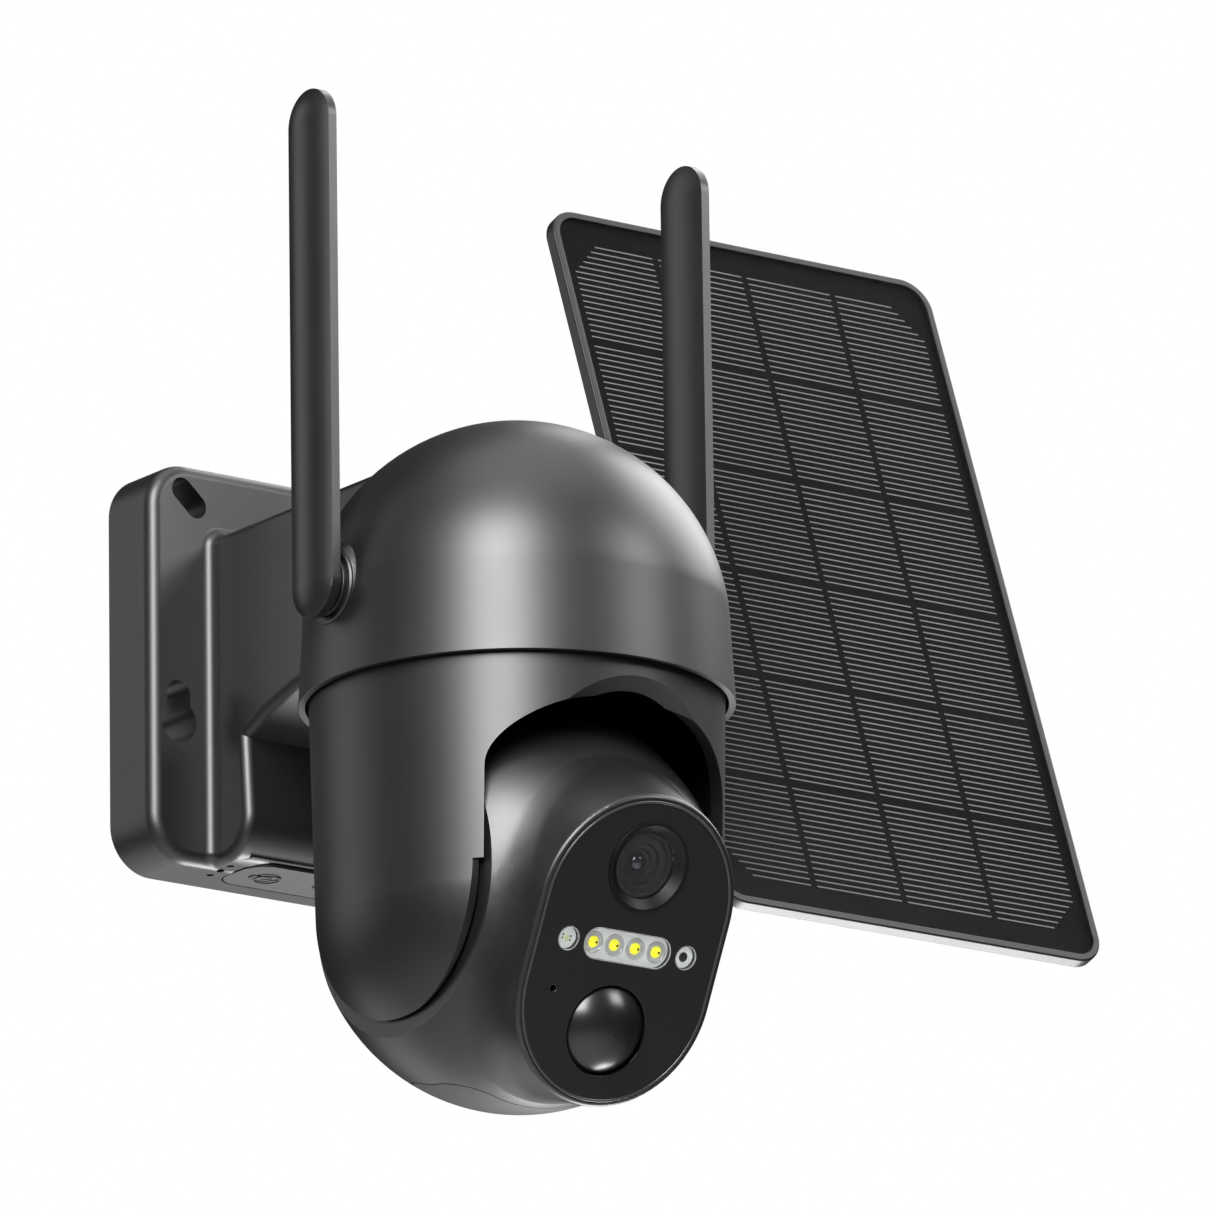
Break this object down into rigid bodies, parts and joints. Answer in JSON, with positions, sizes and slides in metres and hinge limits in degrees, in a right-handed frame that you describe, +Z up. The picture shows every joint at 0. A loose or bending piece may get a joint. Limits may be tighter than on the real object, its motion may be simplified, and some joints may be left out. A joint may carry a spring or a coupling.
{
  "type": "pan tilt security camera",
  "caption": "Battery security camera on a wall base: domed hood, panning yoke, tilting head with lens and lights, two paddle antennas and a solar panel on its own bracket.",
  "frame": {"origin": "centre of the camera base's wall face", "axes": "+Y into the wall, -Y out of the front, +Z up, X sideways"},
  "size_m": [0.2329, 0.1598, 0.2478],
  "materials": {
    "shell": "satin",
    "yoke": "satin",
    "head": "satin",
    "antenna": "satin",
    "knuckle": "matte",
    "face_gloss": "polished",
    "trim": "satin",
    "lens": "polished",
    "window": "polished",
    "pir": "polished",
    "led": "gloss",
    "white": "satin",
    "board": "satin",
    "rubber": "matte",
    "steel": "satin",
    "cell": "gloss",
    "inner": "matte",
    "gear": "satin",
    "solar": "polished",
    "panel_glass": "polished",
    "panel_frame": "satin"
  },
  "bodies": {
    "mount": {"base_housing": "shell", "base_back_plate": "inner", "battery_cells": "cell", "battery_tray": "inner", "charge_board": "board", "charge_port": "steel", "speaker": "inner", "hood": "shell", "hood_chassis": "inner", "pan_bearing": "steel", "pan_motor": "steel", "radio_board": "board", "antenna_socket_left": "shell", "antenna_socket_right": "shell", "bracket_base": "shell"},
    "port_cover": {"port_cover": "rubber"},
    "power_button": {"power_button": "inner"},
    "yoke": {"yoke_shell": "yoke", "yoke_hub": "inner", "pan_gear": "gear", "hub_collar": "steel", "arm_cover_left": "yoke", "arm_cover_right": "yoke", "tilt_axle_left": "inner", "tilt_axle_right": "inner", "tilt_gear": "gear"},
    "pan_pinion": {"pan_pinion": "gear"},
    "head": {"head_front_shell": "head", "head_rear_shell": "head", "face_trim": "trim", "face_plate": "face_gloss", "lens_ring": "face_gloss", "lens_glass": "window", "lens_barrel": "knuckle", "lens_element": "lens", "image_board": "board", "led_board": "white", "led_chips": "led", "led_window": "window", "side_windows": "window", "pir_lens": "pir", "pir_sensor": "steel", "tilt_motor": "steel", "tilt_bushings": "gear", "card_slot": "steel"},
    "tilt_pinion": {"tilt_pinion": "gear"},
    "head_plug": {"head_plug": "rubber"},
    "reset_button": {"reset_button": "inner"},
    "antenna_left": {"antenna_left": "antenna", "antenna_knuckle_left": "knuckle"},
    "antenna_right": {"antenna_right": "antenna", "antenna_knuckle_right": "knuckle"},
    "panel_swivel": {"bracket_fork": "shell"},
    "panel": {"panel_frame": "panel_frame", "solar_cells": "solar", "panel_glass": "panel_glass", "panel_back_box": "panel_frame", "panel_tongue": "shell", "cable_gland": "knuckle"},
    "panel_knob": {"bracket_knob": "inner"}
  },
  "joints": [
    {"name": "pan", "type": "hinge", "parent": "mount", "child": "yoke", "pos_m": [0, -0.1035, -0.026], "axis": [0, 0, 1], "range_deg": [-177.5, 177.5]},
    {"name": "tilt", "type": "hinge", "parent": "yoke", "child": "head", "pos_m": [0, -0.1035, -0.0734], "axis": [1, 0, 0], "range_deg": [-35, 62]},
    {"name": "pan_pinion_turn", "type": "hinge", "parent": "mount", "child": "pan_pinion", "pos_m": [-0.02037, -0.12387, -0.02], "axis": [0, 0, 1], "range_deg": [-890, 890]},
    {"name": "tilt_pinion_turn", "type": "hinge", "parent": "head", "child": "tilt_pinion", "pos_m": [0.0262, -0.09731, -0.05522], "axis": [1, 0, 0], "range_deg": [-110, 190]},
    {"name": "antenna_left_swing", "type": "hinge", "parent": "mount", "child": "antenna_left", "pos_m": [-0.0505, -0.0995, -0.004], "axis": [1, 0, 0], "range_deg": [-45, 180]},
    {"name": "antenna_right_swing", "type": "hinge", "parent": "mount", "child": "antenna_right", "pos_m": [0.0505, -0.0995, -0.004], "axis": [1, 0, 0], "range_deg": [-45, 180]},
    {"name": "panel_swivel", "type": "hinge", "parent": "mount", "child": "panel_swivel", "pos_m": [0.1197, -0.02072, 0.02447], "axis": [0, 0, 1], "range_deg": [-15, 20]},
    {"name": "panel_tilt", "type": "hinge", "parent": "panel_swivel", "child": "panel", "pos_m": [0.1197, -0.04272, 0.02447], "axis": [1, 0, 0], "range_deg": [-6, 25]},
    {"name": "knob_turn", "type": "hinge", "parent": "panel_swivel", "child": "panel_knob", "pos_m": [0.1197, -0.04272, 0.02447], "axis": [1, 0, 0], "continuous": true},
    {"name": "port_cover_swing", "type": "hinge", "parent": "mount", "child": "port_cover", "pos_m": [0.01625, -0.0152, -0.04725], "axis": [0, -1, 0], "range_deg": [0, 100]},
    {"name": "power_press", "type": "slide", "parent": "mount", "child": "power_button", "axis": [0, 0, 1], "range_m": [0, 0.0005], "stiffness_N_per_m": 600},
    {"name": "reset_press", "type": "slide", "parent": "head", "child": "reset_button", "axis": [0, -0.4415, 0.8973], "range_m": [0, 0.0006], "stiffness_N_per_m": 500},
    {"name": "plug_pull", "type": "slide", "parent": "head", "child": "head_plug", "axis": [0, 0.4415, -0.8973], "range_m": [0, 0.005]}
  ],
  "couplings": [
    {"joint": "pan_pinion_turn", "follows": "pan", "ratio": -5},
    {"joint": "tilt_pinion_turn", "follows": "tilt", "ratio": 3}
  ]
}
